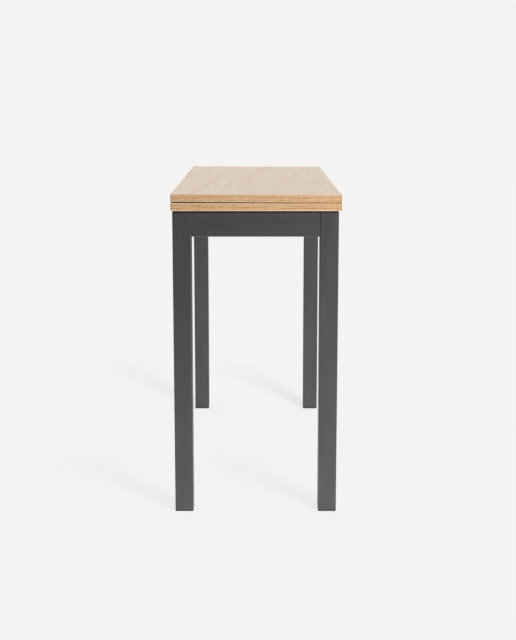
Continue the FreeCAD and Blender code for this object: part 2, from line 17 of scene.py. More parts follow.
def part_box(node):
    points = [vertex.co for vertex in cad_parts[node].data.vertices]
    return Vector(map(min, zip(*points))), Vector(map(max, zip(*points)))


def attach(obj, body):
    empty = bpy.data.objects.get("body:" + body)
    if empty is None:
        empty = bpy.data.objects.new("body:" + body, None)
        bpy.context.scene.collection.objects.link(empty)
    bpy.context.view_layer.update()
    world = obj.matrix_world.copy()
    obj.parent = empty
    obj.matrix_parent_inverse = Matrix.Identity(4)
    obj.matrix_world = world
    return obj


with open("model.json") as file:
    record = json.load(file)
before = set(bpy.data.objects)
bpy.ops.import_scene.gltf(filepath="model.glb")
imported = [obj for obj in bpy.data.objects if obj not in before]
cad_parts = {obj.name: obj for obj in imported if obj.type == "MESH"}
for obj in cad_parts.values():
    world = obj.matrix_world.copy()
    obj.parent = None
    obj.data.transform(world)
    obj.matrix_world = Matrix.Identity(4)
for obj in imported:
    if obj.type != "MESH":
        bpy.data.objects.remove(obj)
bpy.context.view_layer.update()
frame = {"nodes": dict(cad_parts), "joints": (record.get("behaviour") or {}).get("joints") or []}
nodes = frame["nodes"]

# %% [markdown]


# %% [markdown]
# ## The camera
#
# The picture looks along the table at its short end, from a little above. The camera's place was
# worked out from the table's real size: the two near legs, the two far legs and the corners of
# the top fall where the photograph shows them. It stands 3 m from the near end, just over 1 m
# high, and looks down by ten degrees. The lens is longer than a normal one, so the legs keep
# their true thickness.

# %% Place the camera
CAMERA_PLACE = (3.55189, 0.003687, 1.014814)
CAMERA_TILT = 10.1588
CAMERA_YAW = -0.0374
SENSOR = 36
LENS = 72.47


def put(name, data):
    """A new object in the scene, from a mesh, a lamp or a camera."""
    thing = bpy.data.objects.new(name, data)
    bpy.context.scene.collection.objects.link(thing)
    return thing


lens = bpy.data.cameras.new("camera")
lens.sensor_width = SENSOR
lens.lens = LENS
camera = put("camera", lens)
camera.location = CAMERA_PLACE
camera.rotation_euler = (math.radians(90 - CAMERA_TILT), 0, math.radians(90 + CAMERA_YAW))
bpy.context.scene.camera = camera
print("Camera at", CAMERA_PLACE)

# %% [markdown]
# ## Shader maths in plain Python
#
# A finish is a network of shader nodes. Wiring one by hand hides its idea, so this lesson wraps
# the output of a node in a small class. Sums and products of wires add the Math nodes, and
# `add` makes any other node: first its settings, then the values or wires of its sockets.

# %% Wires that can be added and multiplied
class Wire:
    """The output of a shader node."""

    def __init__(self, tree, socket=None):
        self.tree = tree
        self.socket = socket

    def add(self, kind, inputs=None, output=0, **settings):
        """Another node in the same network."""
        node = self.tree.nodes.new(f"ShaderNode{kind}")
        for name, value in settings.items():
            setattr(node, name, value)
        for name, value in (inputs or {}).items():
            if isinstance(value, Wire):
                self.tree.links.new(value.socket, node.inputs[name])
            else:
                node.inputs[name].default_value = value
        return Wire(self.tree, node.outputs[output])

    def other(self, output):
        """Another output of the same node."""
        return Wire(self.tree, self.socket.node.outputs[output])

    def maths(self, operation, *values):
        """A Math node with this wire first."""
        return self.add("Math", dict(enumerate((self, *values))), operation=operation)

    def __add__(self, value):
        return self.maths("ADD", value)

    def __radd__(self, value):
        return self.maths("ADD", value)

    def __sub__(self, value):
        return self.maths("SUBTRACT", value)

    def __rsub__(self, value):
        return self.maths("MULTIPLY_ADD", -1, value)

    def __mul__(self, value):
        return self.maths("MULTIPLY", value)

    def __rmul__(self, value):
        return self.maths("MULTIPLY", value)

    def __truediv__(self, value):
        return self.maths("DIVIDE", value)

    def __rtruediv__(self, value):
        return self.add("Math", {0: value, 1: self}, operation="DIVIDE")

    def __gt__(self, value):
        return self.maths("GREATER_THAN", value)

    def __lt__(self, value):
        return self.maths("LESS_THAN", value)

    def __abs__(self):
        return self.maths("ABSOLUTE")


print("Wires are ready")

# %% [markdown]
# A few helpers serve every finish. A colour picked on a screen has to become the linear one that
# shaders work with. A mask lays one colour over another: the Mix node's sockets go by number
# here, because its colours share their names with its plain values. And a span of a wire is
# stretched to another span, which gives a mask its strength and its soft edge. Noise keeps near
# its middle, so what it mostly spans has a name of its own.

# %% Tones, mixes and spans
SCREEN_WHITE = 255
TOE_END = 0.04045
TOE_SLOPE = 12.92
CURVE_SHIFT = 0.055
CURVE_POWER = 2.4
MIX_FACTOR, MIX_FIRST, MIX_SECOND, MIX_RESULT = 0, 6, 7, 2
NOISE_SPAN = (0.3, 0.7)


def tone(red, green, blue):
    """A screen colour, 0 to 255, as the linear colour that shaders use."""
    def linear(value):
        share = value / SCREEN_WHITE
        if share <= TOE_END:
            return share / TOE_SLOPE
        return ((share + CURVE_SHIFT) / (1 + CURVE_SHIFT)) ** CURVE_POWER
    return (linear(red), linear(green), linear(blue), 1)


def mixed(factor, first, second):
    """A colour between two colours. Each of them is a wire or a tone."""
    sockets = {MIX_FACTOR: factor, MIX_FIRST: first, MIX_SECOND: second}
    return factor.add("Mix", sockets, output=MIX_RESULT, data_type="RGBA")


def between(wire, low, high, to_low=0.0, to_high=1.0):
    """A wire whose span from low to high becomes another span, clamped at its ends."""
    sockets = {"Value": wire, "From Min": low, "From Max": high, "To Min": to_low, "To Max": to_high}
    return wire.add("MapRange", sockets)


def spread(noise, to_low=0.0, to_high=1.0):
    """Noise that fills another span."""
    return between(noise, *NOISE_SPAN, to_low, to_high)


def blended(coarse, fine, share):
    """Two noises as one, with a share of the coarse one."""
    return coarse * share + fine * (1 - share)


def swing(wire, width):
    """A wire from 0 to 1 as a swing about zero, from side to side as wide as asked."""
    return (wire - 0.5) * width


print("Pale tan is", [round(value, 3) for value in tone(206, 168, 128)])

# %% [markdown]
# Each finish starts the same way: a new material, its main shader and the place on the piece in
# metres. A value that is the same all over is set on the shader's own socket. Only what changes
# over the surface comes in by a wire. Noise is either alike in all directions or drawn out into
# streaks, with one rate of change per metre along them and a faster one across.

# %% Start a finish
class Finish:
    """A material, its shader, and the wires of the place on the piece."""

    def __init__(self, name, **constants):
        self.material = bpy.data.materials.new(name)
        self.material.use_nodes = True
        tree = self.material.node_tree
        self.shader = tree.nodes["Principled BSDF"]
        self.start = Wire(tree)
        self.place = self.start.add("TexCoord", output="Object")
        self.x = self.start.add("SeparateXYZ", {0: self.place})
        self.y = self.x.other("Y")
        self.z = self.x.other("Z")
        self.feed(**constants)

    def feed(self, **values):
        """Set or wire the shader's sockets, whose names are written with underscores here."""
        for name, value in values.items():
            socket = self.shader.inputs[name.replace("_", " ")]
            if isinstance(value, Wire):
                self.start.tree.links.new(value.socket, socket)
            else:
                socket.default_value = value

    def grains(self, per_metre, detail=2.0):
        """Noise that is alike in all directions."""
        sockets = {"Vector": self.place, "Scale": per_metre, "Detail": detail}
        return self.start.add("TexNoise", sockets, output="Fac")

    def noise(self, along, across, deep=0.0, detail=2.0):
        """Noise at a place that has been stretched by the caller."""
        stretched = self.start.add("CombineXYZ", {"X": along, "Y": across, "Z": deep})
        sockets = {"Vector": stretched, "Scale": 1.0, "Detail": detail}
        return self.start.add("TexNoise", sockets, output="Fac")

    def streaks(self, along, across, rates, shift=0.0, detail=2.0):
        """Noise in streaks, from its rates along and across them."""
        along_rate, across_rate = rates
        return self.noise(along * along_rate + shift, across * across_rate, detail=detail)

    def bump(self, height, distance, strength):
        """A bumpy surface, from a height that runs from 0 to 1, as deep as distance in metres."""
        sockets = {"Height": height, "Distance": distance, "Strength": strength}
        self.feed(Normal=self.start.add("Bump", sockets, output="Normal"))


def dress(finish, names):
    """Give a finish to construction pieces."""
    for name in names:
        mesh = nodes[name].data
        mesh.materials.clear()
        mesh.materials.append(finish.material)


def named(*beginnings):
    """The construction pieces whose names begin in one of these ways."""
    return sorted(name for name in nodes if name.startswith(beginnings))


print("Finishes can be made for", len(nodes), "pieces")

# %% [markdown]
# ## Dark powder coat
#
# The legs, the aprons and the steel pieces that join them carry one coat of charcoal powder
# paint. It flows out before it hardens, so it is nearly flat, with a fine orange peel about a
# millimetre across. Two sizes of noise do this: a soft one for the peel and a fine one for the
# grain of the powder. A third gives the faint smudges that a cloth leaves on dark paint. The
# uppermost three millimetres lie in the shade of the leaves, and that shade is painted in: they
# are coloured darker and browner.

# %% Mix the frame's paint
POWDER = tone(58, 57, 58)
POWDER_LIGHT = tone(66, 65, 66)
# Dark brown painted shade for the frame's top, under the leaves.
POWDER_PAINTED_SHADE = tone(28, 17, 6)
POWDER_ROUGHNESS = (0.50, 0.60)
PEELS_PER_METRE = 950
SPECKS_PER_METRE = 4200
COARSE_SHARE = 0.8
PEEL_DEPTH = 0.00006
PEEL_STRENGTH = 0.6
SMUDGE_ALONG = 7
SMUDGE_ACROSS = 45
SMUDGE_SPAN = (0.34, 0.66)
SHADE_BAND_DEPTH = 0.0031
SHADE_BAND_FADE = 0.0018
ALONG_X, ALONG_Y, ALONG_Z = range(3)

# The painted shade starts this far below the top of the aprons.
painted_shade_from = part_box("apron_right")[1].z - SHADE_BAND_DEPTH


def powder_coat(name, direction):
    """The frame's paint, with smudges drawn out along one direction, and painted shade along its top."""
    finish = Finish(name, IOR=1.45)
    peel = finish.grains(PEELS_PER_METRE, detail=1.0)
    speck = finish.grains(SPECKS_PER_METRE, detail=0.0)
    stretched = [place * (SMUDGE_ALONG if axis == direction else SMUDGE_ACROSS)
                 for axis, place in enumerate((finish.x, finish.y, finish.z))]
    smudge = finish.noise(*stretched, detail=3.0)
    shade = between(blended(smudge, speck, COARSE_SHARE), *SMUDGE_SPAN)
    # Painted shade: the top few millimetres turn dark brown, as if shaded by the leaves.
    painted_shade = between(finish.z, painted_shade_from - SHADE_BAND_FADE, painted_shade_from)
    finish.feed(Base_Color=mixed(painted_shade, mixed(shade, POWDER, POWDER_LIGHT), POWDER_PAINTED_SHADE))
    finish.feed(Roughness=spread(peel, *POWDER_ROUGHNESS))
    finish.bump(blended(peel, speck, COARSE_SHARE), PEEL_DEPTH, PEEL_STRENGTH)
    return finish


# From this height up, the frame is darkened by painted shade.
print(f"Dust from {painted_shade_from * 1000:.1f} mm upwards")

# %% [markdown]
# A tube is wiped along its length, so its smudges are drawn out that way, and the paint is made
# once for each direction. The corner brackets and the angles of the channels share the paint of
# the legs.

# %% Paint the steel frame
upright = powder_coat("charcoal_powder_coat_upright", ALONG_Z)
legs = [name for name in named("leg_") if not name.startswith(("leg_cap", "leg_bolts"))]
dress(upright, legs + named("corner_bracket_", "channel_angles"))
dress(powder_coat("charcoal_powder_coat_long", ALONG_X), named("apron_front", "apron_rear"))
dress(powder_coat("charcoal_powder_coat_short", ALONG_Y),
      named("apron_left", "apron_right", "cross_bar"))
print("Painted", len(legs), "legs, four aprons and what joins them")

# %% [markdown]
# ## Oak decor
#
# The leaves are boards with a printed oak face. The print shows sawn planks side by side, and
# each plank has its own arches. An arch is where the saw met the yearly rings of a trunk at a
# small angle. So the rings are worked out as they grow: the distance from a core line that runs
# a few centimetres under the board, comes slowly up to it and goes down again. Equal distances
# draw the arches.
#
# One chance number for each plank moves its core line aside and along, so no two are alike. The
# planks are counted from far outside the board, with the middle of one on the table's middle.

# %% Draw the yearly rings of sawn planks
PLANK_WIDTH = 0.134
MIDDLE_COUNT = 40.5
RING_GAP = 0.0075
CORE_DEPTH = 0.012
CORE_SLOPE = 0.030
CORE_ALONG = 3
CORE_ASIDE = 0.06
SWAY_RATES = (1.3, 6)
SWAY_ASIDE = 0.03
SWAY_DEEP = 0.02
CHANCE_ALONG = 50
CHANCE_DEEP = 9
LATE_FROM = 0.35
LATE_TO = 0.95


def plank_rings(finish, along, across):
    """The rings of planks side by side, 0 in early wood and 1 in late, and a plank's chance."""
    count = across / PLANK_WIDTH + MIDDLE_COUNT
    plank = count.maths("FLOOR")
    chance = plank.add("TexWhiteNoise", {"W": plank}, output="Value", noise_dimensions="1D")
    sway = finish.noise(along * SWAY_RATES[0] + chance * CHANCE_ALONG, across * SWAY_RATES[1],
                        chance * CHANCE_DEEP, detail=3.0)
    side = swing(count - plank, PLANK_WIDTH) + swing(chance, CORE_ASIDE) + swing(sway, SWAY_ASIDE)
    rise = abs((along + swing(chance, CORE_ALONG)) * CORE_SLOPE) + CORE_DEPTH
    rise = rise + swing(sway, SWAY_DEEP)
    distance = (side * side + rise * rise).maths("SQRT")
    ring = (distance / RING_GAP).maths("FRACT")
    return between(ring, LATE_FROM, LATE_TO) * between(ring, LATE_TO, 1.0, 1.0, 0.0), chance


print("Planks are", PLANK_WIDTH, "m wide")

# %% [markdown]
# Over the rings lie long soft fibres, finer threads, and short dark pores. All of them are
# streaks along the leaf. The rings, the fibres, the threads and the plank's own chance are added
# up to one measure of darkness, which mixes three tones. A broad rosy cast lies over some planks.

# %% Print the oak
OAK_LIGHT = tone(232, 212, 184)
OAK_MIDDLE = tone(224, 200, 170)
OAK_DARK = tone(206, 178, 146)
OAK_ROSE = tone(226, 192, 165)
OAK_PORE = tone(176, 143, 109)
FIBRE_RATES = (2.5, 60)
THREAD_RATES = (9, 520)
PORE_RATES = (85, 1500)
CAST_RATES = (1.8, 17)
PORE_SPAN = (0.60, 0.70)
DARK_SPAN = (0.37, 1.02)
DARKEST_SPAN = (0.42, 1.0)
CAST_SPAN = (0.48, 0.78)
RING_WEIGHT = 0.15
FIBRE_WEIGHT = 0.75
THREAD_WEIGHT = 0.25
PLANK_WEIGHT = 0.25
DARKEST_MOST = 0.9
PORE_MOST = 0.30


def oak_print(finish):
    """The colour of the printed oak, with its threads and its pores."""
    rings, chance = plank_rings(finish, finish.x, finish.y)
    fibre = finish.streaks(finish.x, finish.y, FIBRE_RATES, detail=3.0)
    thread = finish.streaks(finish.x, finish.y, THREAD_RATES)
    pore = between(finish.streaks(finish.x, finish.y, PORE_RATES, detail=1.0), *PORE_SPAN)
    cast = finish.streaks(finish.x, finish.y, CAST_RATES, detail=1.0)
    depth = rings * RING_WEIGHT + fibre * FIBRE_WEIGHT + thread * THREAD_WEIGHT
    dark = between(depth + chance * PLANK_WEIGHT, *DARK_SPAN)
    wood = mixed(dark, OAK_LIGHT, OAK_MIDDLE)
    wood = mixed(between(cast + chance * PLANK_WEIGHT, *CAST_SPAN), wood, OAK_ROSE)
    wood = mixed(between(dark, *DARKEST_SPAN) * DARKEST_MOST, wood, OAK_DARK)
    return mixed(pore * PORE_MOST, wood, OAK_PORE), thread, pore


print("Fibres change", FIBRE_RATES, "times a metre, along and across")

# %% [markdown]
# A board's faces are printed, but its inside is pressed wood chips. It shows where the hinges
# are let in and where the back edge is cleared for their barrels. The printed skin is a quarter
# of a millimetre thick, so the distance from the board's two faces tells skin from core.
#
# The upper leaf lies at a small angle on its bumpers. Its height is therefore measured square to
# the leaf, from the hinge's axis, and the joint's own range gives the angle.

# %% Find the hinge axis and the leaves' angle
LOWER = -1
UPPER = 1
fold = next(joint for joint in frame["joints"] if joint["name"] == "leaf_fold")
REST_TILT = math.radians(180 - fold["range_deg"][1])
pin_low, pin_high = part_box("hinge_pin_1")
AXIS_Y = (pin_low.y + pin_high.y) / 2
AXIS_Z = (pin_low.z + pin_high.z) / 2
board_low, board_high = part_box("lower_board")
THICKNESS = board_high.z - board_low.z
HALF_GAP = AXIS_Z - board_high.z


def tilt_of(side):
    """The angle at which a leaf lies while the table is shut."""
    return REST_TILT if side == UPPER else 0


def height_on_leaf(finish, side):
    """The height over the hinge's axis, square to the leaf and away from the other leaf."""
    tilt = tilt_of(side)
    square = (finish.z - AXIS_Z) * math.cos(tilt) + (finish.y - AXIS_Y) * math.sin(tilt)
    return square * side


print(f"Leaves {THICKNESS * 1000:.1f} mm thick, upper leaf tilted {math.degrees(REST_TILT):.3f} degrees")

# %% [markdown]
# The same recipe makes both boards, so it is a function. It lays the print on the board, and
# swaps in the chips where the skin is cut away. The pores are small dips in the print and a
# little duller, and the chips are duller and rougher still.

# %% Finish the two boards
CHIP_LIGHT = tone(206, 172, 124)
CHIP_DARK = tone(150, 112, 70)
CHIPS_PER_METRE = 620
CHIP_GRAINS_PER_METRE = 1500
SKIN = 0.00025
PRINT_ROUGHNESS = 0.42
THREAD_ROUGHNESS = 0.07
PORE_ROUGHNESS = 0.06
CHIP_ROUGHNESS = 0.35
PRINT_LEVEL = 0.6
PORE_DIP = 0.25
THREAD_RISE = 0.15
BOARD_DEPTH = 0.00005
BOARD_STRENGTH = 0.5


def chips(finish):
    """Pressed wood chips: flakes of many tones."""
    sockets = {"Vector": finish.place, "Scale": CHIPS_PER_METRE}
    flakes = finish.start.add("TexVoronoi", sockets, output="Color")
    tint = finish.start.add("SeparateColor", {0: flakes})
    return mixed(tint, CHIP_LIGHT, CHIP_DARK)


def oak_board(name, side):
    """A board's two printed faces and its core."""
    finish = Finish(name, IOR=1.5)
    wood, thread, pore = oak_print(finish)
    height = height_on_leaf(finish, side)
    cut = (height > HALF_GAP + SKIN) * (height < HALF_GAP + THICKNESS - SKIN)
    finish.feed(Base_Color=mixed(cut, wood, chips(finish)))
    printed = PRINT_ROUGHNESS + THREAD_ROUGHNESS * thread + PORE_ROUGHNESS * pore
    finish.feed(Roughness=printed + cut * CHIP_ROUGHNESS)
    grain = PRINT_LEVEL - PORE_DIP * pore + THREAD_RISE * thread
    rough_chips = finish.grains(CHIP_GRAINS_PER_METRE)
    finish.bump(grain * (1 - cut) + rough_chips * cut, BOARD_DEPTH, BOARD_STRENGTH)
    return finish


for label, side in (("lower", LOWER), ("upper", UPPER)):
    dress(oak_board(f"oak_decor_{label}", side), [f"{label}_board"])
print("Boards finished")

# %% [markdown]
# ## Edge bands
#
# The four edges of each leaf carry a two-millimetre plastic band with an oak print. Its streaks
# are stronger than those of the top, and a warm tan that shifts slowly from reddish to yellow
# along the edge. The dark lines of an edge are yearly rings cut lengthwise, so they are nearly
# straight and evenly spaced: a sine wave with some noise in its phase. Dark and pale streaks
# come from two sources, the slow lines and a thin noise. Each takes its own part of the span.

# %% Print the edge bands
BAND_RED = tone(208, 160, 117)
BAND_YELLOW = tone(213, 175, 131)
BAND_STREAK = tone(166, 110, 64)
BAND_PALE = tone(238, 206, 162)
LINE_GAP = 0.0043
WAVE_HEIGHT = 0.0045
PHASE_TURNS = 2
DRIFT_RATES = (1.7, 8)
WAVE_RATES = (14, 20)
PHASE_RATES = (5, 120)
WEIGHT_RATES = (24, 300)
THIN_RATES = (95, 1100)
DRIFT_SPAN = (0.38, 0.62)
WEIGHT_SPAN = (0.3, 0.6)
DARK_LINE_SPAN = (0.2, 1.0)
PALE_LINE_SPAN = (-0.1, -0.9)
DARK_THIN_SPAN = (0.52, 0.70)
PALE_THIN_SPAN = (0.46, 0.30)
DARK_LINE_MOST = 0.85
PALE_LINE_MOST = 0.40
DARK_THIN_MOST = 0.60
PALE_THIN_MOST = 0.50


def band_print(finish, along, height, shift):
    """The colour of a printed band, with its thin streaks and its lines."""
    drift = finish.streaks(along, height, DRIFT_RATES, shift, detail=1.0)
    wave = finish.streaks(along, height, WAVE_RATES, shift, detail=3.0)
    level = height + swing(wave, WAVE_HEIGHT)
    phase = finish.streaks(along, level, PHASE_RATES, shift)
    lines = ((level / LINE_GAP + phase * PHASE_TURNS) * (2 * math.pi)).maths("SINE")
    weight = between(finish.streaks(along, level, WEIGHT_RATES, shift), *WEIGHT_SPAN)
    thin = finish.streaks(along, level, THIN_RATES, shift)
    colour = mixed(between(drift, *DRIFT_SPAN), BAND_RED, BAND_YELLOW)
    colour = mixed(between(lines, *DARK_LINE_SPAN) * weight * DARK_LINE_MOST, colour, BAND_STREAK)
    colour = mixed(between(lines, *PALE_LINE_SPAN) * PALE_LINE_MOST, colour, BAND_PALE)
    colour = mixed(between(thin, *DARK_THIN_SPAN) * DARK_THIN_MOST, colour, BAND_STREAK)
    colour = mixed(between(thin, *PALE_THIN_SPAN) * PALE_THIN_MOST, colour, BAND_PALE)
    return colour, thin, lines


print(f"Lines every {LINE_GAP * 1000:.1f} mm")

# %% [markdown]
# Only the outer side is printed. The trimmed arrises show the plain, paler plastic, which draws
# the fine light lines along each leaf. In the seam the bumpers hold the leaves apart at the
# front, so the pale arris shows there and fades towards the hinges. The shade of the seam is
# painted on the upper leaf's arris as a dark brown line, strongest at the front, where the gap
# is widest. The long bands run past the short ones, and their cut ends show as narrow, greyer
# strips at the corners.

# %% Finish the edge bands
BAND_BODY = tone(236, 212, 180)
# Dark brown painted shade for the seam between the leaves.
BAND_SEAM_SHADE = tone(80, 52, 22)
BAND_END = tone(172, 142, 118)
LEAF_SHIFT = 3.7
LONG_SHIFT = 0.9
ARRIS = 0.0014
SEAM_ARRIS = 0.0024
SEAM_SHADE_WIDTH = 0.0014
SEAM_SHADE_LEAST = 0.18
END_DEPTH = 0.0004
BAND_ROUGHNESS = 0.45
THIN_ROUGHNESS = 0.12
THIN_RISE = 0.7
LINE_RISE = 0.15
BAND_DEPTH = 0.00005
BAND_STRENGTH = 0.4

band_end, band_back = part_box("lower_band_rear")[1].xy


def edge_band(name, side, runs_along_x):
    """A printed band with plain arrises, painted shade in the seam and, if it is long, cut ends."""
    finish = Finish(name, IOR=1.47)
    height = height_on_leaf(finish, side)
    along = finish.x if runs_along_x else finish.y
    shift = LEAF_SHIFT * side + (LONG_SHIFT if runs_along_x else 0)
    colour, thin, lines = band_print(finish, along, height, shift)
    toward_front = between(finish.y, band_back, board_low.y)
    in_seam = (height < HALF_GAP + SEAM_ARRIS) * toward_front
    outside = height > HALF_GAP + THICKNESS - ARRIS
    colour = mixed(in_seam.maths("MAXIMUM", outside), colour, BAND_BODY)
    # Painted shade on the upper leaf's arris in the seam, strongest at the front where the gap is
    # widest.
    if side == UPPER:
        seam_shade = SEAM_SHADE_LEAST + toward_front * (1 - SEAM_SHADE_LEAST)
        colour = mixed((height < HALF_GAP + SEAM_SHADE_WIDTH) * seam_shade, colour, BAND_SEAM_SHADE)
    if runs_along_x:
        colour = mixed(abs(finish.x) > band_end - END_DEPTH, colour, BAND_END)
    finish.feed(Base_Color=colour)
    finish.feed(Roughness=BAND_ROUGHNESS + THIN_ROUGHNESS * thin)
    finish.bump(thin * THIN_RISE + lines * LINE_RISE, BAND_DEPTH, BAND_STRENGTH)
    return finish


for label, side in (("lower", LOWER), ("upper", UPPER)):
    long_bands = [f"{label}_band_{place}" for place in ("front", "rear")]
    short_bands = [f"{label}_band_{place}" for place in ("left", "right")]
    dress(edge_band(f"oak_edge_{label}_long", side, True), long_bands)
    dress(edge_band(f"oak_edge_{label}_short", side, False), short_bands)
print("Edge bands finished")

# %% [markdown]
# ## Plastics and bright metals
#
# Most of the other pieces are small and half hidden. They still get a finish of their own,
# because they show when the table is opened or looked at from below. One recipe serves all the
# plastics: a colour that varies a little and a fine moulded grain. The foot caps also have
# painted shade along their lower edge, where they meet the floor.

# %% Finish the plastic and rubber pieces
# Painted shade for the foot caps' lower edge, where they meet the floor.
CONTACT_SHADE = tone(9, 9, 9)
CONTACT_SHADE_HEIGHT = 0.0038
MOULD_GRAINS_PER_METRE = 1800
CLOUDS_PER_METRE = 30
SHINIER = 0.04
DULLER = 0.06
MOULD_DEPTH = 0.00004
MOULD_STRENGTH = 0.5


def moulded(name, colour, other_colour, roughness, shade_height=0, **constants):
    """A moulded plastic, with painted shade below a height over the floor if one is given."""
    finish = Finish(name, **constants)
    texture = finish.grains(MOULD_GRAINS_PER_METRE, detail=1.0)
    surface = mixed(spread(finish.grains(CLOUDS_PER_METRE)), colour, other_colour)
    if shade_height:
        # Painted shade: dark below the given height.
        surface = mixed(finish.z < shade_height, surface, CONTACT_SHADE)
    finish.feed(Base_Color=surface)
    finish.feed(Roughness=spread(texture, roughness - SHINIER, roughness + DULLER))
    finish.bump(texture, MOULD_DEPTH, MOULD_STRENGTH)
    return finish


cap_plastic = moulded("black_cap_plastic", tone(33, 33, 34), tone(40, 40, 41), roughness=0.50,
                      shade_height=CONTACT_SHADE_HEIGHT, IOR=1.5)
nylon = moulded("white_nylon", tone(226, 224, 214), tone(214, 211, 200), roughness=0.42, IOR=1.53)
glide = moulded("black_glide_plastic", tone(30, 30, 31), tone(38, 38, 39), roughness=0.55, IOR=1.5)
rubber = moulded("black_rubber", tone(24, 24, 24), tone(33, 32, 32), roughness=0.75, IOR=1.5)
silicone = moulded("cloudy_silicone", tone(214, 206, 192), tone(205, 198, 184), roughness=0.24,
                   IOR=1.42, Subsurface_Weight=0.4, Subsurface_Scale=0.002)
dress(cap_plastic, named("foot_cap", "leg_cap"))
dress(nylon, named("slider_shoe"))
dress(glide, named("glide_pads"))
dress(rubber, named("channel_buffers"))
dress(silicone, named("bumpers"))
print("Plastics finished")

# %% [markdown]
# Zinc plate has a cool, faintly patchy sheen. It is a true metal, so its colour is the colour of
# its reflection, and two sizes of noise vary how sharp that reflection is.

# %% Finish the zinc-plated pieces
ZINC_COOL = tone(196, 199, 203)
ZINC_WARM = tone(214, 214, 210)
ZINC_SPAN = (0.35, 0.65)
ZINC_ROUGHNESS = (0.26, 0.40)
PATCHES_PER_METRE = 120
FLECKS_PER_METRE = 2600
PATCH_SHARE = 0.7
METAL_DEPTH = 0.00002
ZINC_STRENGTH = 0.4

zinc = Finish("zinc_plate", Metallic=1.0)
patch = zinc.grains(PATCHES_PER_METRE, detail=3.0)
fleck = zinc.grains(FLECKS_PER_METRE, detail=1.0)
zinc.feed(Base_Color=mixed(between(patch, *ZINC_SPAN), ZINC_COOL, ZINC_WARM))
zinc.feed(Roughness=between(blended(patch, fleck, PATCH_SHARE), *ZINC_SPAN, *ZINC_ROUGHNESS))
zinc.bump(fleck, METAL_DEPTH, ZINC_STRENGTH)
dress(zinc, named("leg_bolts", "lower_hinge_plate", "upper_hinge_plate", "hinge_pin",
                  "slider_plate"))
print("Zinc plate on", len(named("lower_hinge_plate", "upper_hinge_plate")), "hinge plates and more")

# %% [markdown]
# The guide channels are drawn through a die, which leaves fine lines along their length. So this
# noise changes slowly along Y, which is the way the channels run, and fast across it.

# %% Finish the aluminium channels
ALUMINIUM_DARK = tone(196, 197, 198)
ALUMINIUM_LIGHT = tone(216, 217, 218)
ALUMINIUM_ROUGHNESS = (0.30, 0.44)
DRAWN_ALONG = 6
DRAWN_ACROSS = 2600
ALUMINIUM_STRENGTH = 0.5

aluminium = Finish("drawn_aluminium", Metallic=1.0)
lines = aluminium.noise(aluminium.x * DRAWN_ACROSS, aluminium.y * DRAWN_ALONG,
                        aluminium.z * DRAWN_ACROSS)
aluminium.feed(Base_Color=mixed(lines, ALUMINIUM_DARK, ALUMINIUM_LIGHT))
aluminium.feed(Roughness=spread(lines, *ALUMINIUM_ROUGHNESS))
aluminium.bump(lines, METAL_DEPTH, ALUMINIUM_STRENGTH)
dress(aluminium, named("guide_channel"))
undressed = [name for name, node in nodes.items() if len(node.data.materials) != 1]
print("Pieces without a finish:", undressed)

# %% [markdown]
# ## Screws
#
# The construction leaves its small screws and its welds to this lesson. Both are built in rings
# of points. Each ring is joined to the next by four-sided faces, and the first and the last ring
# are closed.

# %% Skin a form from rings of points
def new_mesh(name, shape, *materials):
    """Turn a bmesh into a mesh with materials."""
    bmesh.ops.recalc_face_normals(shape, faces=shape.faces)
    mesh = bpy.data.meshes.new(name)
    shape.to_mesh(mesh)
    shape.free()
    for material in materials:
        mesh.materials.append(material)
    return mesh


def ring(shape, points):
    """A ring of points in a form."""
    return [shape.verts.new(point) for point in points]


def skin(shape, rings):
    """Join rings of as many points each to one closed skin."""
    for lower, upper in zip(rings, rings[1:]):
        for index in range(len(lower)):
            after = (index + 1) % len(lower)
            shape.faces.new((lower[index], lower[after], upper[after], upper[index]))
    shape.faces.new(rings[0])
    shape.faces.new(rings[-1])


def on_arc(radius, angle, height):
    """A point on an arc about the Z axis."""
    return (radius * math.cos(angle), radius * math.sin(angle), height)


print("Skins are ready")

# %% [markdown]
# A screw head is a turned form, so its side view is spun round an axis.

# %% Turn a screw head
HEAD_SEGMENTS = 32


def turned(profile):
    """A closed turned form from a list of radius and height."""
    shape = bmesh.new()
    angles = [2 * math.pi * step / HEAD_SEGMENTS for step in range(HEAD_SEGMENTS)]
    skin(shape, [ring(shape, [on_arc(radius, angle, height) for angle in angles])
                 for radius, height in profile])
    return shape


print("A turned form has", HEAD_SEGMENTS, "sides")

# %% [markdown]
# A bump could draw the cross in the head, but a side view would give it away. So it is a real
# recess: a tapered plus sign is cut out of the head. The cutter's faces carry the second
# material, so the inside of the recess comes out in a darker grey: painted shade. The plus
# sign's sizes are shares of the head's radius.

# %% Cut a cross into the head
CROSS_ARM = 0.5
CROSS_WIDTH = 0.13
CROSS_TAPER = 0.6
CROSS_OVERRUN = 0.001


def cross_outline(arm, width, height):
    """The twelve corners of a plus sign."""
    corners = []
    for quarter in range(4):
        turn = Matrix.Rotation(quarter * math.pi / 2, 3, "Z")
        for x, y in ((arm, -width), (arm, width), (width, width)):
            corners.append(turn @ Vector((x, y, height)))
    return corners


def cross_cutter(radius, top, floor_height):
    """A plus sign that tapers towards the floor of the recess."""
    arm = radius * CROSS_ARM
    width = radius * CROSS_WIDTH
    shape = bmesh.new()
    levels = [(floor_height, CROSS_TAPER), (top, 1), (top + CROSS_OVERRUN, 1)]
    skin(shape, [ring(shape, cross_outline(arm * share, width * share, height))
                 for height, share in levels])
    for face in shape.faces:
        face.material_index = 1
    return new_mesh("cross_cutter", shape)


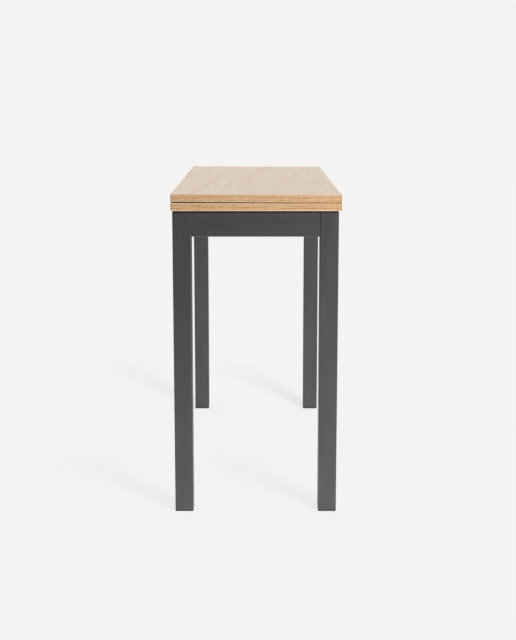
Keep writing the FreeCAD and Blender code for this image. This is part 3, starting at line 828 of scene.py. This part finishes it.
def cut_cross(head, radius, top, floor_height):
    """A screw head with its cross. A boolean works on objects, so two helpers come and go."""
    cutter = put("cross_cutter", cross_cutter(radius, top, floor_height))
    body = put("cross_body", head)
    cut = body.modifiers.new("cross", "BOOLEAN")
    cut.object = cutter
    cut.solver = "EXACT"
    cut.material_mode = "INDEX"
    bpy.context.view_layer.update()
    finished = bpy.data.meshes.new_from_object(body.evaluated_get(bpy.context.evaluated_depsgraph_get()))
    for helper in (cutter, body):
        bpy.data.objects.remove(helper)
    return finished


# Painted shade for the inside of the cross recess: a darker, duller grey.
recess = moulded("screw_recess_painted_shade", tone(58, 57, 54), tone(44, 43, 41), roughness=0.6,
                 Metallic=0.6)
print("A cross recess spans", CROSS_ARM, "of its head")

# %% [markdown]
# Two heads are needed. The hinge screws are countersunk, so only a thin bevelled disc stands
# proud of the plate. The screws of the sliders and the angles have a pan head: a short wall, and
# a flat dome above it.

# %% Make the two heads
FLAT_RADIUS = 0.0031
FLAT_HEIGHT = 0.00013
FLAT_BEVEL = 0.00018
FLAT_FLOOR = 0.00002
PAN_RADIUS = 0.0038
PAN_HEIGHT = 0.0022
PAN_WALL = 0.0009
PAN_FLOOR = 0.0006
DOME_STEPS = 6
AXIS_RADIUS = 0.00005


def flat_head():
    """A thin bevelled disc."""
    profile = [(FLAT_RADIUS, 0), (FLAT_RADIUS - FLAT_BEVEL, FLAT_HEIGHT), (AXIS_RADIUS, FLAT_HEIGHT)]
    mesh = new_mesh("countersunk_head", turned(profile), zinc.material, recess.material)
    return cut_cross(mesh, FLAT_RADIUS, FLAT_HEIGHT, FLAT_FLOOR)


def pan_head():
    """A short wall with a flat dome."""
    profile = [(PAN_RADIUS, 0)]
    for step in range(DOME_STEPS + 1):
        angle = step / DOME_STEPS * math.pi / 2
        radius = max(PAN_RADIUS * math.cos(angle), AXIS_RADIUS)
        profile.append((radius, PAN_WALL + (PAN_HEIGHT - PAN_WALL) * math.sin(angle)))
    mesh = new_mesh("pan_head", turned(profile), zinc.material, recess.material)
    return cut_cross(mesh, PAN_RADIUS, PAN_HEIGHT, PAN_FLOOR)


countersunk = flat_head()
pan = pan_head()
print("Head corners:", len(countersunk.vertices), "and", len(pan.vertices))

# %% [markdown]
# All screws of a kind share one mesh, and only their places differ. No fitter stops every screw
# at the same turn, so each head is turned on by the golden angle from the one before.
#
# A hinge plate has three screws. Their places are given along the table from the plate's middle,
# and back from the hinge's axis. The plate is sunk a tenth of a millimetre into the leaf.

# %% Set the hinge screws
GOLDEN_ANGLE = math.pi * (3 - math.sqrt(5))
HINGE_NUMBERS = (1, 2, 3)
HINGE_SCREWS = ((-0.022, 0.013), (0, 0.023), (0.022, 0.013))
PLATE_SUNK = 0.0001
screws = []


def set_screw(name, mesh, place, facing, body):
    """Set a screw head on a surface, facing along a direction, and let it ride on a body."""
    screw = put(name, mesh)
    turn = Matrix.Rotation(GOLDEN_ANGLE * len(screws), 4, "Z")
    swivel = facing.to_track_quat("Z", "Y").to_matrix().to_4x4()
    screw.matrix_world = Matrix.Translation(place) @ swivel @ turn
    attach(screw, body)
    screws.append(screw)


def on_leaf(x, back, height, side):
    """A point on a leaf: back from the hinge's axis, and height over it, square to the leaf."""
    tilt = Matrix.Rotation(-tilt_of(side), 3, "X")
    return Vector((x, AXIS_Y, AXIS_Z)) + tilt @ Vector((0, -back, side * height))


for label, side in (("lower", LOWER), ("upper", UPPER)):
    for number in HINGE_NUMBERS:
        plate_low, plate_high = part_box(f"{label}_hinge_plate_{number}")
        middle = (plate_low.x + plate_high.x) / 2
        facing = on_leaf(0, 0, 0, side) - on_leaf(0, 0, 1, side)
        for spot, (along, back) in enumerate(HINGE_SCREWS, start=1):
            place = on_leaf(middle + along, back, HALF_GAP + PLATE_SUNK, side)
            set_screw(f"hinge_screw_{label}_{number}_{spot}", countersunk, place, facing,
                      f"{label}_leaf")
print(len(screws), "hinge screws")

# %% [markdown]
# Each slider plate hangs on four pan heads, one near each corner, which look down. Each angle has
# one screw into its apron, and one up into the channel.

# %% Set the screws under the table
SLIDER_INSET = 0.010
ANGLE_DROP = 0.015
ANGLE_GAUGE = 0.0025
DOWN = Vector((0, 0, -1))

for label in ("left", "right"):
    low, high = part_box(f"slider_plate_{label}")
    corners = [(x, y) for x in (low.x + SLIDER_INSET, high.x - SLIDER_INSET)
               for y in (low.y + SLIDER_INSET, high.y - SLIDER_INSET)]
    for spot, (x, y) in enumerate(corners, start=1):
        set_screw(f"slider_screw_{label}_{spot}", pan, Vector((x, y, low.z)), DOWN, "lower_leaf")

low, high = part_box("channel_angles")
for label in ("left", "right"):
    channel_low, channel_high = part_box(f"guide_channel_{label}")
    x = (channel_low.x + channel_high.x) / 2
    for place_name, apron, inward in (("front", low.y, 1), ("rear", high.y, -1)):
        on_arm = Vector((x, apron + inward * ANGLE_GAUGE, high.z - ANGLE_DROP))
        on_shelf = Vector((x, apron + inward * ANGLE_DROP, high.z - ANGLE_GAUGE))
        set_screw(f"apron_screw_{label}_{place_name}", pan, on_arm, Vector((0, inward, 0)), "frame")
        set_screw(f"channel_screw_{label}_{place_name}", pan, on_shelf, DOWN, "frame")
print(len(screws), "screws in all")

# %% [markdown]
# ## Welds
#
# The brackets and the cross bar are welded to the aprons before the frame is painted. A weld
# lies in the corner between two plates, and its overlapping scales show how the torch moved on
# drop by drop. So the bead is a quarter round whose radius swells and falls back at each scale.
# Its ends taper into the corner.

# %% Run a weld bead
BEAD_SIZE = 0.0026
BEAD_PITCH = 0.0023
BEAD_STEPS = 5
BEAD_SWELL = 0.22
BEAD_ARC = 6
BEAD_END = 0.0016
BEAD_LEAST = 0.15


def bead_radius(height, length):
    """The bead's radius: scales one after another, and a round taper at both ends."""
    scale = height / BEAD_PITCH % 1
    from_end = min(height, length - height)
    taper = math.sqrt(1 - (1 - min(from_end / BEAD_END, 1)) ** 2)
    return BEAD_SIZE * (1 - BEAD_SWELL * scale ** 2) * (BEAD_LEAST + (1 - BEAD_LEAST) * taper)


def weld_bead(name, length):
    """A bead along Z between the X and Y directions, with its middle at the origin."""
    shape = bmesh.new()
    rings = []
    count = round(length / BEAD_PITCH) * BEAD_STEPS
    for step in range(count + 1):
        height = length * step / count
        radius = bead_radius(height, length)
        level = height - length / 2
        angles = [math.pi / 2 * part / BEAD_ARC for part in range(BEAD_ARC + 1)]
        arc = [on_arc(radius, angle, level) for angle in angles]
        rings.append(ring(shape, [(0, 0, level)] + arc))
    skin(shape, rings)
    mesh = new_mesh(name, shape, upright.material)
    mesh.shade_smooth()
    return mesh


def lay_bead(name, mesh, middle, first, second):
    """Lay a bead in the corner between two directions that point away from the plates."""
    bead = put(name, mesh)
    turn = Matrix((first, second, first.cross(second))).transposed().to_4x4()
    bead.matrix_world = Matrix.Translation(middle) @ turn
    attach(bead, "frame")
    return bead


print("A bead's scales are", BEAD_PITCH * 1000, "mm long")

# %% [markdown]
# A bracket has an upright bead at the end of each arm. The cross bar has three at each end, up
# both sides and along below.

# %% Weld the brackets and the cross bar
beads = []
bracket_low, bracket_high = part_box("corner_bracket_rear_right")
long_bead = weld_bead("bracket_weld", bracket_high.z - bracket_low.z)
level = (bracket_low.z + bracket_high.z) / 2
for end_name, end in (("left", -1), ("right", 1)):
    for side_name, across in (("front", -1), ("rear", 1)):
        inward_x = Vector((-end, 0, 0))
        inward_y = Vector((0, -across, 0))
        ends = (("long", bracket_low.x, bracket_high.y), ("short", bracket_high.x, bracket_low.y))
        for arm, x, y in ends:
            spot = Vector((end * x, across * y, level))
            beads.append(lay_bead(f"bracket_weld_{side_name}_{end_name}_{arm}", long_bead, spot,
                                  inward_x, inward_y))

bar_low, bar_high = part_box("cross_bar")
side_bead = weld_bead("bar_side_weld", bar_high.z - bar_low.z)
under_bead = weld_bead("bar_under_weld", bar_high.x - bar_low.x)
for side_name, across in (("front", -1), ("rear", 1)):
    inward = Vector((0, -across, 0))
    for end_name, end in (("left", -1), ("right", 1)):
        spot = Vector((end * bar_high.x, across * bar_high.y, (bar_low.z + bar_high.z) / 2))
        beads.append(lay_bead(f"bar_weld_{side_name}_{end_name}", side_bead, spot,
                              Vector((end, 0, 0)), inward))
    spot = Vector((0, across * bar_high.y, bar_low.z))
    beads.append(lay_bead(f"bar_weld_{side_name}_under", under_bead, spot, DOWN, inward))
print(len(beads), "weld beads")

# %% [markdown]
# ## Light and floor
#
# The photograph was taken on a pale sweep, so bright that floor and wall run together. The room
# behind the table is white, and the room on the camera's side is dark. That is why the top
# shines pale at a flat angle, while the legs are dark above and get lighter towards the floor,
# which is their brightest neighbour. One soft lamp stands low on the picture's right.
#
# The sky has two looks. The camera sees the plain paper tone. All other rays see the bright and
# the dark side of the room, with a soft change between them and to the ceiling.

# %% Make the room around the table
PAPER = tone(244, 243, 241)
ROOM_BRIGHT = 1.7
ROOM_DARK = 0.03
ROOM_EDGE = 0.35
CEILING = 0.8
CEILING_SPAN = (0.15, 0.75)

world = bpy.data.worlds.new("studio")
bpy.context.scene.world = world
world.use_nodes = True
sky = Wire(world.node_tree)
seen = sky.add("LightPath", output="Is Camera Ray")
toward = sky.add("SeparateXYZ", {0: sky.add("TexCoord", output="Generated")})
walls = between(toward, ROOM_EDGE, -ROOM_EDGE, ROOM_DARK, ROOM_BRIGHT)
overhead = between(toward.other("Z"), *CEILING_SPAN)
room = walls * (1 - overhead) + CEILING * overhead
background = world.node_tree.nodes["Background"]
background.inputs["Color"].default_value = PAPER
world.node_tree.links.new((seen + (1 - seen) * room).socket, background.inputs["Strength"])
print("Room from", ROOM_DARK, "to", ROOM_BRIGHT)

# %% [markdown]
# The floor is one wide disc. The picture doesn't show its rim, which has the same tone as the
# sky behind it.

# %% Lay the floor
FLOOR_RADIUS = 12
FLOOR_SEGMENTS = 96

shape = bmesh.new()
bmesh.ops.create_circle(shape, cap_ends=True, segments=FLOOR_SEGMENTS, radius=FLOOR_RADIUS)
floor = put("floor", new_mesh("floor", shape))
print("Floor", 2 * FLOOR_RADIUS, "m wide")

# %% [markdown]
# The floor has two looks as well. The camera sees paper that shines by itself and takes only a
# little light from a high lamp, so that shadows on it stay as faint as in the photograph. The
# far half takes more, because the photograph's far shadows are no fainter than its near ones.
# The paper's own glow fills up what lamp and sky don't give, so the floor is even all over.
# Other rays see a pool of light around the table, which is what lights the legs from below.
#
# A small lamp that faces straight down gives a white spot on the floor its power times the
# square of its height, over the fourth power of their distance and the square of pi.

# %% Finish the floor
HIGH_LAMP = (2.83, 1.55, 4.6)
HIGH_POWER = 420
NEAR_SHARE = 0.060
FAR_SHARE = 0.125
NEAR_TO = 0.0
FAR_FROM = -0.45
SKY_LIGHT = 0.71
PAPER_LEVEL = PAPER[1]
POOL_PLACE = (0.3, 0.3)
POOL_INNER = 0.6
POOL_OUTER = 2.8
POOL_BRIGHT = 2.03
POOL_EDGE = 0.0


def distance_squared(finish, place):
    """The square of the distance along the floor from a place."""
    away_x = finish.x - place[0]
    away_y = finish.y - place[1]
    return away_x * away_x + away_y * away_y


def floor_finish():
    """Even paper to the camera, and a pool of light to all other rays."""
    finish = Finish("pale_floor", Roughness=1.0, Specular_IOR_Level=0.0, Emission_Strength=1.0)
    on_camera = finish.start.add("LightPath", output="Is Camera Ray")
    pool_distance = distance_squared(finish, POOL_PLACE).maths("SQRT")
    pool = between(pool_distance, POOL_INNER, POOL_OUTER, POOL_BRIGHT, POOL_EDGE)
    ray = distance_squared(finish, HIGH_LAMP) + HIGH_LAMP[2] ** 2
    lamp_light = HIGH_POWER * HIGH_LAMP[2] ** 2 / math.pi ** 2 / (ray * ray)
    share = between(finish.x, NEAR_TO, FAR_FROM, NEAR_SHARE, FAR_SHARE)
    glow = 1 - (lamp_light + SKY_LIGHT) * share / PAPER_LEVEL
    finish.feed(Base_Color=on_camera * share)
    strength = on_camera * glow + (1 - on_camera) * pool
    finish.feed(Emission_Color=strength.add("VectorMath", {0: PAPER[:3], "Scale": strength},
                                            operation="SCALE"))
    return finish


floor.data.materials.append(floor_finish().material)
print("The floor takes", NEAR_SHARE, "to", FAR_SHARE, "of the light")

# %% [markdown]
# Two lamps share the work. A near one, low on the picture's right, models the legs and the
# edges. A high and wide one draws the faint shadows, which are sharp at the feet and melt away
# within half a metre. A lamp can be tied to a group of pieces: they alone receive its light, or
# alone cast its shadows, or are left out of it.

# %% Hang a lamp and tie it to pieces
LAMP_PLACE = (1.7, 1.15, 0.45)
LAMP_AIM = (0.5, 0.0, 0.35)
LAMP_SIZE = 0.9
LAMP_POWER = 19
HIGH_SIZE = 0.95


def hang(name, place, aim, size, power):
    """Hang a square lamp that shines towards a point."""
    lamp = bpy.data.lights.new(name, "AREA")
    lamp.energy = power
    lamp.size = size
    holder = put(name, lamp)
    holder.location = place
    holder.rotation_euler = (Vector(aim) - Vector(place)).to_track_quat("-Z", "Y").to_euler()
    return holder


def only(name, members):
    """A group of pieces that a lamp is tied to."""
    chosen = bpy.data.collections.new(name)
    for member in members:
        chosen.objects.link(member)
    return chosen


print("The near lamp is", LAMP_SIZE, "m wide")

# %% [markdown]
# The near lamp lights everything but the floor, where it would show as a bright patch. The high
# lamp lights the floor alone. Only the legs, with their caps and bolts, stand in its way, because
# the photograph shows no shadow of the top.

# %% Hang both lamps
soft_lamp = hang("soft_lamp", LAMP_PLACE, LAMP_AIM, LAMP_SIZE, LAMP_POWER)
unlit = only("not_lit_by_soft_lamp", [floor])
soft_lamp.light_linking.receiver_collection = unlit
unlit.collection_objects[0].light_linking.link_state = "EXCLUDE"
below = (HIGH_LAMP[0], HIGH_LAMP[1], 0)
shadow_lamp = hang("high_lamp", HIGH_LAMP, below, HIGH_SIZE, HIGH_POWER)
standing = [nodes[name] for name in named("leg_", "foot_cap_")]
shadow_lamp.light_linking.receiver_collection = only("lit_by_high_lamp", [floor])
shadow_lamp.light_linking.blocker_collection = only("shadow_makers", standing)
bpy.context.scene.view_settings.view_transform = "Standard"
print("Lamps at", LAMP_PLACE, "and", HIGH_LAMP)
